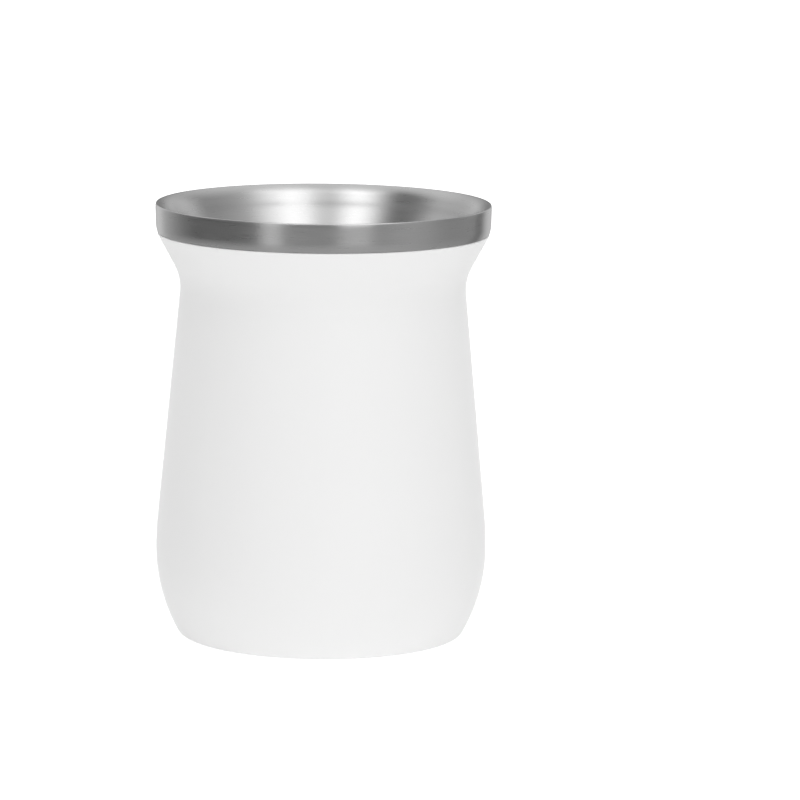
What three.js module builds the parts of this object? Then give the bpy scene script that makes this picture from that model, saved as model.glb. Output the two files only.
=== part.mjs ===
// A steel mate cup: a round, double-walled drinking cup with a white coated body and a bare steel mouth.
// Millimetres, +Z up. The origin is the centre of the foot, on the surface that the cup stands on.
//
// The cup is two sheets of steel joined at the lip, and nothing between them can be seen:
//   outer_shell  the coated body, from its foot to the line where the coating stops
//   steel_liner  the bare steel: the band round the mouth, the lip, the flared mouth and the inner wall
// Both are turned round the Z axis from an outline of tangent arcs and straight sides.
import * as THREE from "three";

const degrees = THREE.MathUtils.degToRad;

// Driving dimensions
const HEIGHT = 109.8; // foot to lip
const RIM_RADIUS = 42.3; // outside of the steel band
const BAND_DEPTH = 7.2; // bare steel below the lip
const WAIST_RADIUS = 36.05; // narrowest point of the coated body
const WAIST_HEIGHT = 88.2;
const BELLY_RADIUS = 41.85; // widest point of the coated body
const BELLY_HEIGHT = 22.2;
const FLOOR_HEIGHT = 7; // inner floor above the surface that the cup stands on

// Arcs and slopes of the outer outline, from the foot up. Slopes are measured from upright.
const FOOT_ARC = 2.3;
const BELLY_ARC_BELOW = 43.7;
const BELLY_ARC_ABOVE = 85;
const WAIST_ARC = 13.1;
const FLARE = degrees(28.5); // of the outside, and of the mouth inside it
const KNEE_ARC = 8; // turns the flare into the upright band
const LIP_EDGE_ARC = 0.3; // between the band and the top of the lip

// Arcs and slopes of the inside, from the top of the lip down
const LIP_ARC = 0.8;
const LIP_SLOPE = degrees(60); // where the lip's arc runs into the mouth's
const MOUTH_ARC = 6; // turns the lip into the flare
const WALL_TAPER = degrees(1.3);
const CORNER_ARC = 8; // between the inner wall and the floor

// The underside
const FOOT_RING_WIDTH = 3.4;
const RECESS_DEPTH = 1.4;
const RECESS_ARC = 1;

// Sheet and clearances
const LINER_SHEET = 0.8;
const SHELL_GAP = 0.15; // between the liner and the shell behind it
const COAT = 0.1; // the coating stands this far out from the bare band

const SEGMENTS = 60;

// Directions in the half-plane of an outline, where r is the first coordinate and z the second
const OUT = 0;
const UP = Math.PI / 2;
const IN = Math.PI;
const DOWN = -Math.PI / 2;

const SEAM_HEIGHT = HEIGHT - BAND_DEPTH;
const lipEdge = { r: RIM_RADIUS - LIP_EDGE_ARC, z: HEIGHT - LIP_EDGE_ARC };
const lip = { r: lipEdge.r, z: HEIGHT - LIP_ARC };
const waist = { r: WAIST_RADIUS + WAIST_ARC, z: WAIST_HEIGHT };
const knee = kneeCentre();
const mouth = mouthCentre();
const throatArc = throatRadius();
const corner = cornerCentre();

// The knee's arc is tangent to the flare and to the band, and lies in the corner that they would make.
function kneeCentre() {
  const flareFootRadius = waist.r - WAIST_ARC * Math.cos(FLARE);
  const flareFootHeight = waist.z + WAIST_ARC * Math.sin(FLARE);
  const meetingHeight = flareFootHeight + (RIM_RADIUS - flareFootRadius) / Math.tan(FLARE);
  return { r: RIM_RADIUS - KNEE_ARC, z: meetingHeight + KNEE_ARC * Math.tan(FLARE / 2) };
}

// The mouth's arc is tangent to the lip's.
function mouthCentre() {
  const reach = MOUTH_ARC - LIP_ARC;
  return { r: lip.r + reach * Math.cos(LIP_SLOPE), z: lip.z - reach * Math.sin(LIP_SLOPE) };
}

// The throat's arc turns the flared side of the mouth into the inner wall. It shares the waist's centre, so
// its radius is the distance at which that side passes it.
function throatRadius() {
  return MOUTH_ARC + (waist.r - mouth.r) * Math.cos(FLARE) + (mouth.z - waist.z) * Math.sin(FLARE);
}

// The arc between the inner wall and the floor, placed so that the tapered wall is tangent to it.
function cornerCentre() {
  const topRadius = waist.r - throatArc * Math.cos(WALL_TAPER);
  const topHeight = waist.z + throatArc * Math.sin(WALL_TAPER);
  const footHeight = FLOOR_HEIGHT + CORNER_ARC * (1 - Math.sin(WALL_TAPER));
  const footRadius = topRadius - (topHeight - footHeight) * Math.tan(WALL_TAPER);
  return { r: footRadius - CORNER_ARC * Math.cos(WALL_TAPER), z: FLOOR_HEIGHT + CORNER_ARC };
}

// The slope of the straight side between belly and waist, found by repeating until it is tangent to both.
function sideSlope() {
  const rise = WAIST_HEIGHT - BELLY_HEIGHT;
  const run = BELLY_RADIUS - WAIST_RADIUS;
  const arcs = BELLY_ARC_ABOVE + WAIST_ARC;
  let slope = Math.atan(run / rise);
  for (let i = 0; i < 20; i++) {
    const straight = (rise - arcs * Math.sin(slope)) / Math.cos(slope);
    slope = Math.asin((run - arcs * (1 - Math.cos(slope))) / straight);
  }
  return slope;
}

// Points of an arc round a centre, from one direction to another, both ends included.
function arc(centre, radius, from, to, steps) {
  return Array.from({ length: steps + 1 }, (_, i) => {
    const angle = from + ((to - from) * i) / steps;
    return new THREE.Vector2(centre.r + radius * Math.cos(angle), centre.z + radius * Math.sin(angle));
  });
}

// The direction in which an arc of the outer side passes a height.
function directionAt(height, centre, radius) {
  return Math.asin((height - centre.z) / radius);
}

// The coated body from the edge of its flat foot up to a height on the knee.
function bodySide(top) {
  const bellyTurn = Math.asin((BELLY_HEIGHT - FOOT_ARC) / (BELLY_ARC_BELOW - FOOT_ARC));
  const slope = sideSlope();
  const bellyBelow = { r: BELLY_RADIUS - BELLY_ARC_BELOW, z: BELLY_HEIGHT };
  const bellyAbove = { r: BELLY_RADIUS - BELLY_ARC_ABOVE, z: BELLY_HEIGHT };
  const foot = { r: bellyBelow.r + (BELLY_ARC_BELOW - FOOT_ARC) * Math.cos(bellyTurn), z: FOOT_ARC };
  return [
    ...arc(foot, FOOT_ARC, DOWN, -bellyTurn, 4),
    ...arc(bellyBelow, BELLY_ARC_BELOW, -bellyTurn, OUT, 7).slice(1),
    ...arc(bellyAbove, BELLY_ARC_ABOVE, OUT, slope, 3).slice(1),
    ...arc(waist, WAIST_ARC, IN + slope, IN - FLARE, 7),
    ...arc(knee, KNEE_ARC, -FLARE, directionAt(top, knee, KNEE_ARC), 3),
  ];
}

// The inside from the throat's arc down to the edge of the floor, moved out by an offset.
function innerWall(offset) {
  return [
    ...arc(waist, throatArc - offset, IN - FLARE, IN - WALL_TAPER, 5),
    ...arc(corner, CORNER_ARC + offset, -WALL_TAPER, DOWN, 5),
  ];
}

// The same, with the flared side above it up to a height.
function innerWallBelow(height, offset) {
  const wall = innerWall(offset);
  const reach = (height - wall[0].y) * Math.tan(FLARE);
  return [new THREE.Vector2(wall[0].x + reach, height), ...wall];
}

function onAxis(z) {
  return new THREE.Vector2(0, z);
}

function turned(points) {
  return new THREE.LatheGeometry(points, SEGMENTS).rotateX(UP);
}

function outerShell() {
  const top = SEAM_HEIGHT - SHELL_GAP;
  const back = LINER_SHEET + SHELL_GAP;
  const side = bodySide(top);
  const recessRadius = side[0].x - FOOT_RING_WIDTH;
  const recess = { r: recessRadius - RECESS_ARC, z: RECESS_DEPTH - RECESS_ARC };
  return turned([
    onAxis(RECESS_DEPTH),
    ...arc(recess, RECESS_ARC, UP, OUT, 3),
    new THREE.Vector2(recessRadius, 0),
    ...side,
    ...innerWallBelow(top, back),
    onAxis(FLOOR_HEIGHT - back),
  ]);
}

function steelLiner() {
  const bandFoot = { r: knee.r - COAT, z: knee.z };
  return turned([
    onAxis(FLOOR_HEIGHT - LINER_SHEET),
    ...innerWallBelow(SEAM_HEIGHT, LINER_SHEET).reverse(),
    ...arc(bandFoot, KNEE_ARC, directionAt(SEAM_HEIGHT, knee, KNEE_ARC), OUT, 2),
    ...arc(lipEdge, LIP_EDGE_ARC, OUT, UP, 3),
    ...arc(lip, LIP_ARC, UP, IN - LIP_SLOPE, 1).slice(1),
    ...arc(mouth, MOUTH_ARC, IN - LIP_SLOPE, IN - FLARE, 4).slice(1),
    ...innerWall(0),
    onAxis(FLOOR_HEIGHT),
  ]);
}

function mesh(name, geometry, material) {
  const made = new THREE.Mesh(geometry, material);
  made.name = name;
  return made;
}

const whiteCoat = new THREE.MeshStandardMaterial({ color: 0xecebe9, roughness: 0.55, metalness: 0 });
const brushedSteel = new THREE.MeshStandardMaterial({ color: 0xb4b3b1, roughness: 0.32, metalness: 1 });

const cup = new THREE.Group();
cup.add(mesh("outer_shell", outerShell(), whiteCoat));
cup.add(mesh("steel_liner", steelLiner(), brushedSteel));

export default cup;
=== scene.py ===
"""A steel mate cup with a white coated body and a bare steel mouth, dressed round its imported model.

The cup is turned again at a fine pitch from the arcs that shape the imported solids, and its overall sizes are
read from them. Everything is in metres, +Z up, with the origin at the centre of the foot.
"""

import logging
import math
from dataclasses import dataclass
from enum import Enum

import bmesh
import bpy
from mathutils import Matrix, Vector

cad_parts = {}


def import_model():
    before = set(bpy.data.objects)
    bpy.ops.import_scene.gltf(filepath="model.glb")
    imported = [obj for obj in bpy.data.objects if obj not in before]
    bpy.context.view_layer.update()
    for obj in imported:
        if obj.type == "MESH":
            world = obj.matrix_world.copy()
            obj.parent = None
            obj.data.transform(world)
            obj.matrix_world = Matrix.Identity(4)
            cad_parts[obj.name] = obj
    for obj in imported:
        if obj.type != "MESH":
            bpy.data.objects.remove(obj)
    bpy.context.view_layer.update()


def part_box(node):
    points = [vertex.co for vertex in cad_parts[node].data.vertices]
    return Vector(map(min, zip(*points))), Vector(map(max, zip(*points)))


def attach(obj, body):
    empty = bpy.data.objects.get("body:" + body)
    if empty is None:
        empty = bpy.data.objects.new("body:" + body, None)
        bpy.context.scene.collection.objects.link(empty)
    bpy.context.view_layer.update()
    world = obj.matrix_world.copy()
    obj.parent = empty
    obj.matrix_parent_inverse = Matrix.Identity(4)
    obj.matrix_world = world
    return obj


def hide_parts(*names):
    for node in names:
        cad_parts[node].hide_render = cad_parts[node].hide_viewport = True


LOG = logging.getLogger("mate_cup")

BODY = "root"
MM = 0.001
SAME_PLACE = MM / 1000  # points closer than this are one
WHITE = (1.0, 1.0, 1.0, 1.0)
MIX_NUMBERS = (0, 2, 3)  # a Mix node's inputs for numbers: its factor and the two that it mixes

# Directions in the half-plane of an outline, where the radius grows along X and the height along Z
OUT = 0.0
UP = math.pi / 2
IN = math.pi
DOWN = -math.pi / 2


class Node(Enum):
    """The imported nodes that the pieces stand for."""

    SHELL = "outer_shell"
    LINER = "steel_liner"


class Slot(Enum):
    """The record's material slots."""

    COAT = "white_coat"
    STEEL = "brushed_steel"


@dataclass(frozen=True)
class Arc:
    """A circle in the half-plane of an outline.

    Args:
        r: distance of its centre from the cup's axis.
        z: height of its centre.
        radius: its radius.
    """

    r: float
    z: float
    radius: float

    def at(self, direction: float) -> Vector:
        """The point of the circle in a direction from its centre."""
        return Vector(
            (self.r + self.radius * math.cos(direction), 0.0, self.z + self.radius * math.sin(direction))
        )

    def direction_at(self, height: float) -> float:
        """The direction in which the outer side of the circle passes a height."""
        return math.asin((height - self.z) / self.radius)

    def grown(self, offset: float) -> "Arc":
        """The same centre with a larger radius, or a smaller one where the offset is negative."""
        return Arc(self.r, self.z, self.radius + offset)

    @classmethod
    def through(cls, point: Vector, direction: float, radius: float) -> "Arc":
        """The circle of a radius that has a point in a direction from its centre."""
        r = point.x - radius * math.cos(direction)
        return cls(r, point.z - radius * math.sin(direction), radius)


class Outline:
    """A line of edges in the X-Z half-plane, drawn from its first point by straight runs and arcs."""

    def __init__(self, r: float, z: float) -> None:
        """Starts the line.

        Args:
            r: distance of the first point from the axis.
            z: its height.
        """
        self.mesh = bmesh.new()
        self.tip = self.mesh.verts.new((r, 0.0, z))

    def run(self, end: Vector, parts: int = 1) -> "Outline":
        """Adds a straight run.

        Args:
            end: where it ends.
            parts: how many edges it has.

        Returns:
            The outline itself.
        """
        step = (end - self.tip.co) / parts
        for _ in range(parts):
            self.tip = bmesh.ops.extrude_vert_indiv(self.mesh, verts=[self.tip])["verts"][0]
            bmesh.ops.translate(self.mesh, verts=[self.tip], vec=step)
        return self

    def arc(self, circle: Arc, start: float, end: float, steps: int, parts: int = 1) -> "Outline":
        """Adds a straight run to a circle and an arc along it.

        Args:
            circle: the circle that the arc lies on.
            start: direction of the arc's first point from the circle's centre.
            end: direction of its last point.
            steps: how many edges the arc has.
            parts: how many edges the run has, if there is one.

        Returns:
            The outline itself.
        """
        first = circle.at(start)
        if (first - self.tip.co).length > SAME_PLACE:
            self.run(first, parts)
        made = bmesh.ops.spin(
            self.mesh,
            geom=[self.tip],
            cent=(circle.r, 0.0, circle.z),
            axis=(0.0, -1.0, 0.0),
            angle=end - start,
            steps=steps,
        )
        self.tip = next(v for v in made["geom_last"] if isinstance(v, bmesh.types.BMVert))
        return self

    def turned(self, name: str, segments: int, sharp: float) -> bpy.types.Object:
        """Spins the line round the cup's axis into a closed skin.

        Args:
            name: the new piece's name.
            segments: how many steps a full turn has.
            sharp: edges that bend more than this angle stay sharp.

        Returns:
            The piece, which rides on the cup's body.
        """
        bmesh.ops.spin(
            self.mesh,
            geom=self.mesh.verts[:] + self.mesh.edges[:],
            cent=(0.0, 0.0, 0.0),
            axis=(0.0, 0.0, 1.0),
            angle=math.tau,
            steps=segments,
            use_merge=True,
        )
        bmesh.ops.remove_doubles(self.mesh, verts=self.mesh.verts[:], dist=SAME_PLACE)
        bmesh.ops.recalc_face_normals(self.mesh, faces=self.mesh.faces[:])
        data = bpy.data.meshes.new(name)
        self.mesh.to_mesh(data)
        self.mesh.free()
        data.shade_smooth()
        data.set_sharp_from_angle(angle=sharp)
        piece = bpy.data.objects.new(name, data)
        bpy.context.scene.collection.objects.link(piece)
        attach(piece, BODY)
        return piece


@dataclass(frozen=True)
class CupShape:
    """The arcs of the cup's outline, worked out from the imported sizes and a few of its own.

    Args:
        height: foot to lip.
        rim_radius: outside of the steel band.
        seam_height: where the coating stops.
        belly_radius: widest point of the coated body.
        floor_height: inner floor above the surface that the cup stands on.
        belly_height: height of the widest point.
        waist_radius: narrowest point of the coated body.
        waist_height: its height.
        foot_arc: between the side and the flat foot.
        belly_arc_below: the side's bend under the widest point.
        belly_arc_above: the same over it.
        waist_arc: the side's bend at the waist.
        knee_arc: turns the flare into the upright band.
        lip_edge_arc: between the band and the top of the lip.
        lip_arc: from the top of the lip inwards.
        mouth_arc: turns the lip into the flare.
        corner_arc: between the inner wall and the floor.
        flare: slope of the outside's flare and of the mouth's side, from upright.
        lip_slope: slope at which the lip's arc runs into the mouth's, from upright.
        wall_taper: slope of the inner wall, from upright.
        shell_gap: between the liner and the shell behind it.
        liner_sheet: thickness of the liner.
        coat: how far the coat stands out from the bare band.
        groove: height of the groove between coat and band.
    """

    height: float
    rim_radius: float
    seam_height: float
    belly_radius: float
    floor_height: float
    belly_height: float = 22.2 * MM
    waist_radius: float = 36.05 * MM
    waist_height: float = 88.2 * MM
    foot_arc: float = 2.3 * MM
    belly_arc_below: float = 43.7 * MM
    belly_arc_above: float = 85 * MM
    waist_arc: float = 13.1 * MM
    knee_arc: float = 8 * MM
    lip_edge_arc: float = 0.3 * MM
    lip_arc: float = 0.8 * MM
    mouth_arc: float = 6 * MM
    corner_arc: float = 8 * MM
    flare: float = math.radians(28.5)
    lip_slope: float = math.radians(60)
    wall_taper: float = math.radians(1.3)
    shell_gap: float = 0.15 * MM
    liner_sheet: float = 0.8 * MM
    coat: float = 0.1 * MM
    groove: float = 0.1 * MM

    @classmethod
    def from_frame(cls) -> "CupShape":
        """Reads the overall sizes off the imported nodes."""
        shell_low, shell_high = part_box(Node.SHELL.value)
        liner_low, liner_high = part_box(Node.LINER.value)
        return cls(
            height=liner_high.z - shell_low.z,
            rim_radius=liner_high.x,
            seam_height=shell_high.z + cls.shell_gap,
            belly_radius=shell_high.x,
            floor_height=liner_low.z + cls.liner_sheet,
        )

    @property
    def lip_edge(self) -> Arc:
        """The small bend from the band to the top of the lip."""
        arc = self.lip_edge_arc
        return Arc(self.rim_radius - arc, self.height - arc, arc)

    @property
    def lip(self) -> Arc:
        """The bend from the top of the lip inwards."""
        return Arc(self.lip_edge.r, self.height - self.lip_arc, self.lip_arc)

    @property
    def waist(self) -> Arc:
        """The hollow of the waist, whose centre lies outside the cup."""
        return Arc(self.waist_radius + self.waist_arc, self.waist_height, self.waist_arc)

    @property
    def knee(self) -> Arc:
        """The bend from the flare to the upright band, tangent to both."""
        flare_foot = self.waist.at(IN - self.flare)
        meeting = flare_foot.z + (self.rim_radius - flare_foot.x) / math.tan(self.flare)
        return Arc(
            self.rim_radius - self.knee_arc,
            meeting + self.knee_arc * math.tan(self.flare / 2),
            self.knee_arc,
        )

    @property
    def mouth(self) -> Arc:
        """The bend from the lip to the flared side of the mouth."""
        reach = self.mouth_arc - self.lip_arc
        return Arc(
            self.lip.r + reach * math.cos(self.lip_slope),
            self.lip.z - reach * math.sin(self.lip_slope),
            self.mouth_arc,
        )

    @property
    def throat(self) -> Arc:
        """The bend from the flared side to the inner wall, which shares the waist's centre."""
        across, up = self.waist.r - self.mouth.r, self.mouth.z - self.waist.z
        radius = self.mouth_arc + across * math.cos(self.flare) + up * math.sin(self.flare)
        return Arc(self.waist.r, self.waist.z, radius)

    @property
    def corner(self) -> Arc:
        """The bend from the inner wall to the floor, tangent to the tapered wall."""
        top = self.throat.at(IN - self.wall_taper)
        foot_height = self.floor_height + self.corner_arc * (1 - math.sin(self.wall_taper))
        foot_radius = top.x - (top.z - foot_height) * math.tan(self.wall_taper)
        return Arc(
            foot_radius - self.corner_arc * math.cos(self.wall_taper),
            self.floor_height + self.corner_arc,
            self.corner_arc,
        )

    @property
    def coat_top(self) -> float:
        """Height of the coat's upper edge, under the groove that parts it from the bare band."""
        return self.seam_height - self.groove

    def flared_side(self, height: float, offset: float) -> Vector:
        """The point of the mouth's flared side at a height.

        Args:
            height: the point's height.
            offset: how far out from the bare face the side lies.

        Returns:
            The point, on the side's line, which also runs above and below the side itself.
        """
        foot = self.throat.grown(-offset).at(IN - self.flare)
        return Vector((foot.x + (height - foot.z) * math.tan(self.flare), 0.0, height))

    @property
    def belly_turn(self) -> float:
        """How far the belly's lower arc turns from upright before it meets the foot's arc."""
        return math.asin((self.belly_height - self.foot_arc) / (self.belly_arc_below - self.foot_arc))

    @property
    def belly_below(self) -> Arc:
        """The arc under the belly's widest point."""
        arc = self.belly_arc_below
        return Arc(self.belly_radius - arc, self.belly_height, arc)

    @property
    def belly_above(self) -> Arc:
        """The arc over the belly's widest point."""
        arc = self.belly_arc_above
        return Arc(self.belly_radius - arc, self.belly_height, arc)

    @property
    def foot(self) -> Arc:
        """The bend from the side to the flat foot."""
        reach = (self.belly_arc_below - self.foot_arc) * math.cos(self.belly_turn)
        return Arc(self.belly_below.r + reach, self.foot_arc, self.foot_arc)

    @property
    def side_slope(self) -> float:
        """The slope of the straight side from upright, repeated until it is tangent to belly and waist."""
        repeats = 20
        rise = self.waist_height - self.belly_height
        run = self.belly_radius - self.waist_radius
        arcs = self.belly_arc_above + self.waist_arc
        slope = math.atan(run / rise)
        for _ in range(repeats):
            straight = (rise - arcs * math.sin(slope)) / math.cos(slope)
            slope = math.asin((run - arcs * (1 - math.cos(slope))) / straight)
        return slope


def new_material(name: str) -> tuple[bpy.types.Material, bpy.types.NodeTree, bpy.types.Node]:
    """Makes a node material that holds its output and its main shader.

    Args:
        name: the material's name.

    Returns:
        The material, its node tree and its Principled shader.
    """
    material = bpy.data.materials.new(name)
    material.use_nodes = True
    tree = material.node_tree
    shader = next(n for n in tree.nodes if n.type == "BSDF_PRINCIPLED")
    return material, tree, shader


def add_node(tree: bpy.types.NodeTree, kind: str, **settings: object) -> bpy.types.Node:
    """Adds a node and sets its properties, and its inputs where a name matches none.

    Args:
        tree: the tree that gets the node.
        kind: the node's type name.
        settings: properties, or inputs by their name with underscores for spaces.

    Returns:
        The new node.
    """
    node = tree.nodes.new(kind)
    for name, value in settings.items():
        if hasattr(node, name):
            setattr(node, name, value)
        else:
            node.inputs[name.replace("_", " ")].default_value = value
    return node


def spread(
    tree: bpy.types.NodeTree, pattern: bpy.types.NodeSocket, mean: float, reach: float
) -> bpy.types.NodeSocket:
    """Turns a pattern into a value that strays a little from its mean.

    Args:
        tree: the tree that holds the pattern.
        pattern: a pattern from 0 to 1.
        mean: the value where the pattern is one half.
        reach: how far the value lies above the mean where the pattern is 1.

    Returns:
        The value.
    """
    node = add_node(tree, "ShaderNodeMapRange")
    node.inputs["To Min"].default_value = mean - reach
    node.inputs["To Max"].default_value = mean + reach
    tree.links.new(pattern, node.inputs["Value"])
    return node.outputs[0]


def blended(
    tree: bpy.types.NodeTree,
    share: bpy.types.NodeSocket,
    under: bpy.types.NodeSocket | float,
    over: float,
) -> bpy.types.Node:
    """Mixes one tone into another.

    Args:
        tree: the tree that gets the node.
        share: how much of the upper tone shows, from 0 to 1.
        under: the tone under it.
        over: the upper tone.

    Returns:
        The mixing node, whose first output is the tone.
    """
    node = add_node(tree, "ShaderNodeMix", data_type="FLOAT")
    factor, low, high = (node.inputs[i] for i in MIX_NUMBERS)
    tree.links.new(share, factor)
    if isinstance(under, bpy.types.NodeSocket):
        tree.links.new(under, low)
    else:
        low.default_value = under
    high.default_value = over
    return node


@dataclass(frozen=True)
class PowderCoat:
    """A matt white powder coat: fine grain over a slow orange-peel swell.

    Args:
        colour: its colour.
        roughness: mean roughness.
        unevenness: how far the roughness strays from its mean.
        grain: size of the fine grain.
        peel: size of the orange peel.
        grain_depth: depth of the fine grain.
        peel_depth: depth of the orange peel.
        grain_detail: how many finer layers the grain has.
        peel_detail: the same for the orange peel.
        sheen: how much light the grain catches where the coat is seen edge on.
        sheen_roughness: how widely it does.
    """

    colour: tuple[float, float, float, float] = (0.94, 0.94, 0.938, 1.0)
    roughness: float = 0.48
    unevenness: float = 0.05
    grain: float = 0.25 * MM
    peel: float = 1.6 * MM
    grain_depth: float = 0.004 * MM
    peel_depth: float = 0.006 * MM
    grain_detail: float = 2.0
    peel_detail: float = 1.0
    sheen: float = 1.0
    sheen_roughness: float = 0.3

    def material(self) -> bpy.types.Material:
        """Makes the material."""
        material, tree, shader = new_material("powder_coat")
        link = tree.links.new
        place = add_node(tree, "ShaderNodeTexCoord").outputs["Object"]
        grain = add_node(tree, "ShaderNodeTexNoise", Scale=1 / self.grain, Detail=self.grain_detail)
        peel = add_node(tree, "ShaderNodeTexNoise", Scale=1 / self.peel, Detail=self.peel_detail)
        link(place, grain.inputs["Vector"])
        link(place, peel.inputs["Vector"])
        swell = add_node(tree, "ShaderNodeBump", Distance=self.peel_depth)
        fine = add_node(tree, "ShaderNodeBump", Distance=self.grain_depth)
        link(peel.outputs[0], swell.inputs["Height"])
        link(grain.outputs[0], fine.inputs["Height"])
        link(swell.outputs["Normal"], fine.inputs["Normal"])
        link(fine.outputs["Normal"], shader.inputs["Normal"])
        uneven = spread(tree, peel.outputs[0], self.roughness, self.unevenness)
        link(uneven, shader.inputs["Roughness"])
        shader.inputs["Base Color"].default_value = self.colour
        shader.inputs["Sheen Weight"].default_value = self.sheen
        shader.inputs["Sheen Roughness"].default_value = self.sheen_roughness
        return material


@dataclass(frozen=True)
class BrushedSteel:
    """Stainless steel brushed round the cup, so that its lights spread across the brushing.

    Args:
        tone: its mean grey.
        tone_spread: how far single brush marks stray from it.
        roughness: mean roughness.
        roughness_spread: how far single brush marks stray from it.
        anisotropy: how much more the lights spread across the brushing than along it.
        quarter_turn: turns that spread across the tangent, as a share of a full turn.
        stroke_width: width of one brush mark.
        strokes_round: how many marks follow each other in one turn round the cup, over 2 pi.
        fleck_width: width of the short marks between the long ones.
        flecks_round: how many of them follow each other in one turn, over 2 pi.
        stroke_depth: depth of the long marks.
        fleck_depth: depth of the short ones.
        detail: how many finer layers the noise of the marks has.
    """

    tone: float = 0.62
    tone_spread: float = 0.05
    roughness: float = 0.29
    roughness_spread: float = 0.05
    anisotropy: float = 0.86
    quarter_turn: float = 0.25
    stroke_width: float = 0.35 * MM
    strokes_round: float = 5.0
    fleck_width: float = 0.45 * MM
    flecks_round: float = 70.0
    stroke_depth: float = 0.0005 * MM
    fleck_depth: float = 0.014 * MM
    detail: float = 2.0

    def material(self) -> bpy.types.Material:
        """Makes the material."""
        material, tree, shader = new_material("brushed_steel")
        link = tree.links.new
        strokes = self.marks(tree, self.stroke_width, self.strokes_round)
        flecks = self.marks(tree, self.fleck_width, self.flecks_round)
        both = add_node(tree, "ShaderNodeMath", operation="ADD")
        link(strokes, both.inputs[0])
        link(flecks, both.inputs[1])
        mean = add_node(tree, "ShaderNodeMath", operation="DIVIDE")
        link(both.outputs[0], mean.inputs[0])
        mean.inputs[1].default_value = 2.0
        tone = spread(tree, mean.outputs[0], self.tone, self.tone_spread)
        link(tone, shader.inputs["Base Color"])
        roughness = spread(tree, strokes, self.roughness, self.roughness_spread)
        link(roughness, shader.inputs["Roughness"])
        relief = add_node(tree, "ShaderNodeBump", Distance=self.stroke_depth)
        link(strokes, relief.inputs["Height"])
        fine = add_node(tree, "ShaderNodeBump", Distance=self.fleck_depth)
        link(flecks, fine.inputs["Height"])
        link(relief.outputs["Normal"], fine.inputs["Normal"])
        link(fine.outputs["Normal"], shader.inputs["Normal"])
        shader.inputs["Metallic"].default_value = 1.0
        shader.inputs["Anisotropic"].default_value = self.anisotropy
        shader.inputs["Anisotropic Rotation"].default_value = self.quarter_turn
        round_axis = add_node(tree, "ShaderNodeTangent", direction_type="RADIAL", axis="Z")
        link(round_axis.outputs[0], shader.inputs["Tangent"])
        return material

    def marks(self, tree: bpy.types.NodeTree, width: float, count: float) -> bpy.types.NodeSocket:
        """Noise that is drawn out round the cup's axis.

        Args:
            tree: the material's tree.
            width: width of one mark, across the brushing.
            count: how many marks follow each other in one turn, over 2 pi.

        Returns:
            The noise, from 0 to 1.
        """
        link = tree.links.new
        place = add_node(tree, "ShaderNodeTexCoord").outputs["Object"]
        level = add_node(tree, "ShaderNodeVectorMath", operation="MULTIPLY")
        level.inputs[1].default_value = (1.0, 1.0, 0.0)
        link(place, level.inputs[0])
        radius = add_node(tree, "ShaderNodeVectorMath", operation="LENGTH")
        link(level.outputs[0], radius.inputs[0])
        turn = add_node(tree, "ShaderNodeVectorMath", operation="NORMALIZE")
        link(level.outputs[0], turn.inputs[0])
        drawn = add_node(tree, "ShaderNodeVectorMath", operation="SCALE")
        drawn.inputs["Scale"].default_value = count
        link(turn.outputs[0], drawn.inputs[0])
        height = add_node(tree, "ShaderNodeSeparateXYZ")
        link(place, height.inputs[0])
        across = add_node(tree, "ShaderNodeMath", operation="ADD")
        link(height.outputs["Z"], across.inputs[0])
        link(radius.outputs["Value"], across.inputs[1])
        pitch = add_node(tree, "ShaderNodeMath", operation="DIVIDE")
        link(across.outputs[0], pitch.inputs[0])
        pitch.inputs[1].default_value = width
        noise = add_node(
            tree, "ShaderNodeTexNoise", noise_dimensions="4D", Scale=1.0, Detail=self.detail
        )
        link(drawn.outputs[0], noise.inputs["Vector"])
        link(pitch.outputs[0], noise.inputs["W"])
        return noise.outputs[0]


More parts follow.
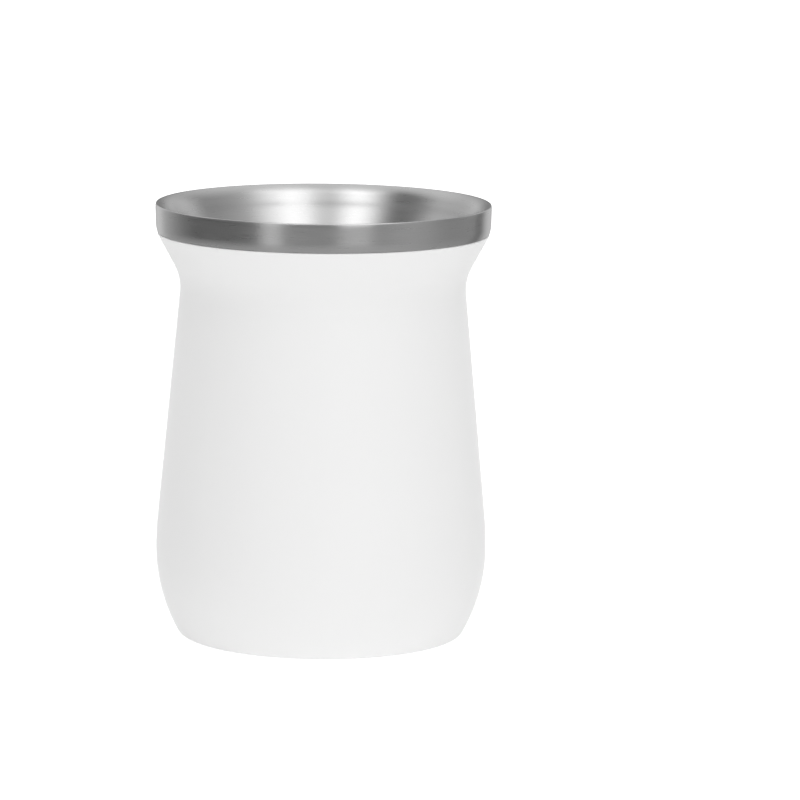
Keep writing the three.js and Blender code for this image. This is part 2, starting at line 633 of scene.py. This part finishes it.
@dataclass
class CoatedBody:
    """The white body: its side from the seam to the foot, the foot ring and the recess under the cup.

    Args:
        shape: the cup's arcs.
        finish: its coat.
        name: the piece's name.
        ring_width: width of the flat foot ring.
        recess_depth: depth of the recess inside the ring.
        recess_arc: between the recess and the ring.
        edge_arc: rounds the coat's upper edge.
        segments: steps in a full turn.
        sharp: edges that bend more than this stay sharp.
    """

    shape: CupShape
    finish: PowderCoat
    name: str = "coated_body"
    ring_width: float = 3.4 * MM
    recess_depth: float = 1.4 * MM
    recess_arc: float = 1 * MM
    edge_arc: float = 0.3 * MM
    segments: int = 256
    sharp: float = math.radians(35)

    def build(self) -> bpy.types.Object:
        """Turns the body as one closed wall that ends behind the liner.

        Returns:
            The piece that stands for the shell.
        """
        s = self.shape
        back = s.liner_sheet + s.shell_gap
        recess_radius = s.foot.r - self.ring_width
        recess = Arc(recess_radius - self.recess_arc, self.recess_depth - self.recess_arc, self.recess_arc)
        edge_turn = s.knee.grown(-self.edge_arc).direction_at(s.coat_top - self.edge_arc)
        edge_middle = s.knee.grown(-self.edge_arc).at(edge_turn)
        edge = Arc(edge_middle.x, edge_middle.z, self.edge_arc)
        line = Outline(0.0, self.recess_depth)
        line.arc(recess, UP, OUT, 8)
        line.run(Vector((recess_radius, 0.0, 0.0)))
        line.arc(s.foot, DOWN, -s.belly_turn, 12)
        line.arc(s.belly_below, -s.belly_turn, OUT, 24)
        line.arc(s.belly_above, OUT, s.side_slope, 8)
        line.arc(s.waist, IN + s.side_slope, IN - s.flare, 24, parts=12)
        line.arc(s.knee, -s.flare, edge_turn, 6, parts=3)
        line.arc(edge, edge_turn, UP, 8)
        line.run(s.flared_side(s.coat_top, back))
        line.arc(s.throat.grown(-back), IN - s.flare, IN - s.wall_taper, 8)
        line.arc(s.corner.grown(back), -s.wall_taper, DOWN, 6)
        line.run(Vector((0.0, 0.0, s.floor_height - back)))
        piece = line.turned(self.name, self.segments, self.sharp)
        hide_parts(Node.SHELL.value)
        return piece

    def dress(self, piece: bpy.types.Object) -> None:
        """Gives the body its coat."""
        piece.data.materials.append(self.finish.material())


@dataclass
class SteelLiner:
    """The bare steel: the band, the lip, the flared mouth, the inner wall and the floor.

    Args:
        shape: the cup's arcs.
        finish: its brushed finish.
        name: the piece's name.
        edge_arc: rounds the band's lower edge.
        groove_depth: how far the groove under the band reaches in.
        clearance: between the liner and the coat's upper edge.
        crown_arc: leans the top of the band inwards.
        crown_turn: by how much it does.
        ripple_depth: where the ripple in the mouth's side starts, below the lip.
        ripple_arc: each of the ripple's two bends.
        ripple_turn: how much steeper the side is between them.
        segments: steps in a full turn.
        sharp: edges that bend more than this stay sharp.
    """

    shape: CupShape
    finish: BrushedSteel
    name: str = "steel_mouth_and_liner"
    edge_arc: float = 0.12 * MM
    groove_depth: float = 0.2 * MM
    clearance: float = 0.01 * MM
    crown_arc: float = 6 * MM
    crown_turn: float = math.radians(8)
    ripple_depth: float = 3.4 * MM
    ripple_arc: float = 14 * MM
    ripple_turn: float = math.radians(6)
    segments: int = 256
    sharp: float = math.radians(35)

    def build(self) -> bpy.types.Object:
        """Turns the liner as one closed sheet with a thick band.

        Returns:
            The piece that stands for the liner.
        """
        s = self.shape
        sheet = s.liner_sheet
        band = Arc(s.knee.r - s.coat, s.knee.z, s.knee.radius)
        edge_turn = band.grown(-self.edge_arc).direction_at(s.seam_height + self.edge_arc)
        edge_middle = band.grown(-self.edge_arc).at(edge_turn)
        edge = Arc(edge_middle.x, edge_middle.z, self.edge_arc)
        neck_radius = edge.r - self.groove_depth
        neck_foot = s.coat_top + self.clearance
        line = Outline(0.0, s.floor_height - sheet)
        line.arc(s.corner.grown(sheet), DOWN, -s.wall_taper, 6)
        line.arc(s.throat.grown(-sheet), IN - s.wall_taper, IN - s.flare, 8)
        line.run(s.flared_side(neck_foot, sheet))
        line.run(Vector((neck_radius, 0.0, neck_foot)))
        line.run(Vector((neck_radius, 0.0, s.seam_height)))
        line.arc(edge, DOWN, edge_turn, 4)
        line.arc(band, edge_turn, OUT, 8)
        self.add_crown(line)
        line.arc(s.lip, UP, IN - s.lip_slope, 6, parts=2)
        line.arc(s.mouth, IN - s.lip_slope, IN - s.flare, 12)
        self.add_ripple(line)
        line.arc(s.throat, IN - s.flare, IN - s.wall_taper, 16, parts=8)
        line.arc(s.corner, -s.wall_taper, DOWN, 16, parts=16)
        line.run(Vector((0.0, 0.0, s.floor_height)), 4)
        piece = line.turned(self.name, self.segments, self.sharp)
        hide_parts(Node.LINER.value)
        return piece

    def add_crown(self, line: Outline) -> None:
        """Leans the top of the band inwards by a shallow arc and turns it over the edge of the lip.

        Args:
            line: the liner's outline, which has come up to the band.
        """
        s = self.shape
        turn = math.sin(self.crown_turn)
        rise = s.lip_edge_arc * (1 - turn) + self.crown_arc * turn
        crown = Arc(s.rim_radius - self.crown_arc, s.height - rise, self.crown_arc)
        line.arc(crown, OUT, self.crown_turn, 6, parts=4)
        edge = Arc.through(crown.at(self.crown_turn), self.crown_turn, s.lip_edge_arc)
        line.arc(edge, self.crown_turn, UP, 8)

    def add_ripple(self, line: Outline) -> None:
        """Turns the flared side steeper for a little way and back again, as the rolled sheet does.

        Args:
            line: the liner's outline, which has come down to the flared side.
        """
        s = self.shape
        steep = s.flare - self.ripple_turn
        start = s.flared_side(s.height - self.ripple_depth, 0.0)
        into = Arc.through(start, IN - s.flare, self.ripple_arc)
        out_of = Arc.through(into.at(IN - steep), -steep, self.ripple_arc)
        line.arc(into, IN - s.flare, IN - steep, 6, parts=2)
        line.arc(out_of, -steep, -s.flare, 6)

    def dress(self, piece: bpy.types.Object) -> None:
        """Gives the liner its brushed finish."""
        piece.data.materials.append(self.finish.material())


@dataclass(frozen=True)
class PhotoCamera:
    """The photograph's camera, found from the cup's outline in the 800 pixel frame.

    Args:
        distance: from the cup's middle.
        elevation: above the cup's middle.
        roll: of the frame about the line of sight.
        focal_pixels: focal length in pixels.
        frame_pixels: the frame's side in pixels.
        middle_x: where the cup's middle lies in the frame, from the left.
        middle_y: the same from the top.
        sensor: width of the sensor, in millimetres.
        nearest: distance from which the camera sees.
        farthest: distance up to which it does.
    """

    distance: float = 1.3
    elevation: float = math.radians(9.37)
    roll: float = math.radians(0.461)
    focal_pixels: float = 5134.0
    frame_pixels: float = 800.0
    middle_x: float = 322.05
    middle_y: float = 418.48
    sensor: float = 36.0
    nearest: float = 0.05
    farthest: float = 50.0

    def build(self, middle: Vector) -> bpy.types.Object:
        """Makes the camera and aims it by turning, with no shift.

        Args:
            middle: the cup's middle.

        Returns:
            The camera.
        """
        data = bpy.data.cameras.new("photo_camera")
        data.sensor_width = self.sensor
        data.lens = self.focal_pixels / self.frame_pixels * self.sensor
        data.clip_start, data.clip_end = self.nearest, self.farthest
        camera = bpy.data.objects.new("photo_camera", data)
        bpy.context.scene.collection.objects.link(camera)
        back = Vector((0.0, -math.cos(self.elevation), math.sin(self.elevation)))
        facing = (-back).to_track_quat("-Z", "Y").to_matrix().to_4x4()
        half = self.frame_pixels / 2
        aside = math.atan((self.middle_x - half) / self.focal_pixels)
        above = math.atan((self.middle_y - half) / self.focal_pixels)
        aim = Matrix.Rotation(aside, 4, "Y") @ Matrix.Rotation(above, 4, "X")
        roll = Matrix.Rotation(self.roll, 4, "Z")
        camera.matrix_world = Matrix.Translation(middle + back * self.distance) @ facing @ roll @ aim
        bpy.context.scene.camera = camera
        return camera


@dataclass(frozen=True)
class StudioPanel:
    """A soft-edged panel of light or shade in the surroundings, as the cup sees it, in degrees.

    Args:
        name: what it is.
        azimuth: its middle, from the camera's side, positive to the right.
        elevation: its middle, above the floor.
        width: across, to the middle of its soft edges.
        height: upwards, to the middle of its soft edges.
        soft_width: width of its soft edges at the sides.
        soft_height: the same above and below.
        tone: its brightness, where 1 is white.
    """

    name: str
    azimuth: float
    elevation: float
    width: float
    height: float
    soft_width: float
    soft_height: float
    tone: float


@dataclass(frozen=True)
class Surroundings:
    """The room round the cup: its walls and floor, and the panels in it, each over the ones before it.

    The wall, the ground and most of the panels come from a least-squares fit to the photograph's tones,
    rounded, and some were changed after it. Dark left top, pale back, white sweep behind and gap
    behind were set one by one. None of them is measured from a real room.

    Args:
        wall: tone above the floor's line.
        ground: tone below it.
        ground_line: elevation at which one turns into the other, in degrees.
        ground_softness: over how many degrees it does.
        seen: the tone that the camera sees behind the cup.
        panels: the panels.
    """

    wall: float = 0.63
    ground: float = 0.48
    ground_line: float = -5
    ground_softness: float = 20
    seen: float = 1.0
    panels: tuple[StudioPanel, ...] = (
        StudioPanel("ceiling", 0, 90, 400, 42, 10, 18, 0.7),
        StudioPanel("pale back", 180, 55, 130, 40, 30, 20, 0.85),
        StudioPanel("white sweep behind", 180, 5, 70, 40, 15, 15, 0.72),
        StudioPanel("gap behind", 180, 12, 34, 34, 20, 20, 0.25),
        StudioPanel("dark left side", -75, -3, 92, 30, 60, 16, 0.02),
        StudioPanel("dark left top", -78, 44, 40, 38, 20, 20, 0.1),
        StudioPanel("dim right side", 108, 8, 70, 68, 50, 45, 0.3),
        StudioPanel("dark front", 11, 2, 84, 24, 58, 16, 0.04),
        StudioPanel("bridge between the boxes", 4, 60, 164, 12, 27, 14, 1.6),
        StudioPanel("low left strip", -36, 3, 14, 38, 9, 21, 0.85),
        StudioPanel("low right strip", 22, 26, 22, 48, 7, 26, 1.4),
        StudioPanel("left soft box", -34, 54, 30, 30, 26, 19, 2.5),
        StudioPanel("right soft box", 36, 54, 42, 38, 48, 14, 2.05),
        StudioPanel("pale patch at the right", 130, 17, 32, 14, 20, 14, 0.8),
        StudioPanel("dark line at the right", 135, -14, 12, 36, 6, 10, 0.15),
    )

    def build(self) -> None:
        """Makes the world: the panels for the cup, and plain white for the camera."""
        world = bpy.data.worlds.new("white_studio")
        bpy.context.scene.world = world
        world.use_nodes = True
        tree = world.node_tree
        link = tree.links.new
        direction = add_node(tree, "ShaderNodeSeparateXYZ")
        link(add_node(tree, "ShaderNodeTexCoord").outputs["Generated"], direction.inputs[0])
        away = add_node(tree, "ShaderNodeMath", operation="MULTIPLY")
        away.inputs[1].default_value = -1.0
        link(direction.outputs["Y"], away.inputs[0])
        azimuth = add_node(tree, "ShaderNodeMath", operation="ARCTAN2")
        link(direction.outputs["X"], azimuth.inputs[0])
        link(away.outputs[0], azimuth.inputs[1])
        elevation = add_node(tree, "ShaderNodeMath", operation="ARCSINE")
        link(direction.outputs["Z"], elevation.inputs[0])
        ground_edge = math.radians(self.ground_softness / 2)
        ground = add_node(tree, "ShaderNodeMapRange", interpolation_type="SMOOTHSTEP")
        ground.inputs["From Min"].default_value = math.radians(self.ground_line) - ground_edge
        ground.inputs["From Max"].default_value = math.radians(self.ground_line) + ground_edge
        ground.inputs["To Min"].default_value = self.ground
        ground.inputs["To Max"].default_value = self.wall
        link(elevation.outputs[0], ground.inputs["Value"])
        tone = ground.outputs[0]
        for panel in self.panels:
            tone = self.painted(tree, tone, azimuth.outputs[0], elevation.outputs[0], panel)
        to_camera = add_node(tree, "ShaderNodeLightPath").outputs["Is Camera Ray"]
        seen = blended(tree, to_camera, tone, self.seen)
        background = next(n for n in tree.nodes if n.type == "BACKGROUND")
        background.inputs["Color"].default_value = WHITE
        link(seen.outputs[0], background.inputs["Strength"])

    def painted(
        self,
        tree: bpy.types.NodeTree,
        under: bpy.types.NodeSocket,
        azimuth: bpy.types.NodeSocket,
        elevation: bpy.types.NodeSocket,
        panel: StudioPanel,
    ) -> bpy.types.NodeSocket:
        """Paints a panel over what is there already.

        Args:
            tree: the world's tree.
            under: the tone under the panel.
            azimuth: azimuth of the direction that is looked at.
            elevation: its elevation.
            panel: the panel.

        Returns:
            The tone with the panel on it.
        """
        link = tree.links.new
        aside = self.inside(tree, azimuth, panel.azimuth, panel.width, panel.soft_width)
        along = self.inside(tree, elevation, panel.elevation, panel.height, panel.soft_height)
        cover = add_node(tree, "ShaderNodeMath", operation="MULTIPLY")
        link(aside, cover.inputs[0])
        link(along, cover.inputs[1])
        mixed = blended(tree, cover.outputs[0], under, panel.tone)
        mixed.label = panel.name
        return mixed.outputs[0]

    def inside(
        self,
        tree: bpy.types.NodeTree,
        angle: bpy.types.NodeSocket,
        middle: float,
        across: float,
        soft: float,
    ) -> bpy.types.NodeSocket:
        """Says how far an angle lies inside a band with soft edges.

        Args:
            tree: the world's tree.
            angle: the angle, in radians.
            middle: middle of the band, in degrees.
            across: width of the band, in degrees.
            soft: width of each soft edge, in degrees.

        Returns:
            1 inside the band and 0 outside it.
        """
        link = tree.links.new
        off = add_node(tree, "ShaderNodeMath", operation="SUBTRACT")
        link(angle, off.inputs[0])
        off.inputs[1].default_value = math.radians(middle)
        turned = add_node(tree, "ShaderNodeMath", operation="WRAP")
        link(off.outputs[0], turned.inputs[0])
        turned.inputs[1].default_value = math.pi
        turned.inputs[2].default_value = -math.pi
        size = add_node(tree, "ShaderNodeMath", operation="ABSOLUTE")
        link(turned.outputs[0], size.inputs[0])
        edge = add_node(tree, "ShaderNodeMapRange", interpolation_type="SMOOTHSTEP")
        edge.inputs["From Min"].default_value = math.radians((across + soft) / 2)
        edge.inputs["From Max"].default_value = math.radians((across - soft) / 2)
        link(size.outputs[0], edge.inputs["Value"])
        return edge.outputs[0]


@dataclass
class Studio:
    """The pale floor, the surroundings and the camera.

    Args:
        middle: the cup's middle, which the camera aims at.
        floor_side: side of the floor.
        floor_tone: its own grey.
        floor_roughness: how dull it is.
        glow: the light that the floor gives the cup.
        glow_seen: the same as the camera sees it.
        camera: the camera.
        surroundings: what the cup sees round it.
    """

    middle: Vector
    floor_side: float = 12.0
    floor_tone: float = 0.7
    floor_roughness: float = 0.9
    glow: float = 0.44
    glow_seen: float = 0.8
    camera: PhotoCamera = PhotoCamera()
    surroundings: Surroundings = Surroundings()

    def build(self) -> None:
        """Makes the floor, the world and the camera."""
        self.build_floor()
        self.surroundings.build()
        self.camera.build(self.middle)

    def build_floor(self) -> None:
        """Makes the floor that the cup stands on."""
        mesh = bmesh.new()
        bmesh.ops.create_grid(mesh, x_segments=1, y_segments=1, size=self.floor_side / 2)
        data = bpy.data.meshes.new("pale_floor")
        mesh.to_mesh(data)
        mesh.free()
        floor = bpy.data.objects.new("pale_floor", data)
        bpy.context.scene.collection.objects.link(floor)
        material, tree, shader = new_material("pale_floor")
        shader.inputs["Base Color"].default_value = (*[self.floor_tone] * 3, 1.0)
        shader.inputs["Roughness"].default_value = self.floor_roughness
        shader.inputs["Emission Color"].default_value = WHITE
        to_camera = add_node(tree, "ShaderNodeLightPath").outputs["Is Camera Ray"]
        glow = blended(tree, to_camera, self.glow, self.glow_seen)
        tree.links.new(glow.outputs[0], shader.inputs["Emission Strength"])
        data.materials.append(material)
        floor.visible_glossy = False


def main() -> None:
    """Builds the cup and the studio, and reports each piece."""
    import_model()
    shape = CupShape.from_frame()
    LOG.info("cup %.1f mm high, %.1f mm across the band", shape.height / MM, 2 * shape.rim_radius / MM)
    for part in (CoatedBody(shape, PowderCoat()), SteelLiner(shape, BrushedSteel())):
        piece = part.build()
        part.dress(piece)
        LOG.info("%s: %d faces", piece.name, len(piece.data.polygons))
    Studio(Vector((0.0, 0.0, shape.height / 2))).build()
    bpy.context.scene.view_settings.view_transform = "Standard"
    bpy.context.view_layer.update()


if __name__ == "__main__":
    logging.basicConfig(level=logging.INFO)
    main()
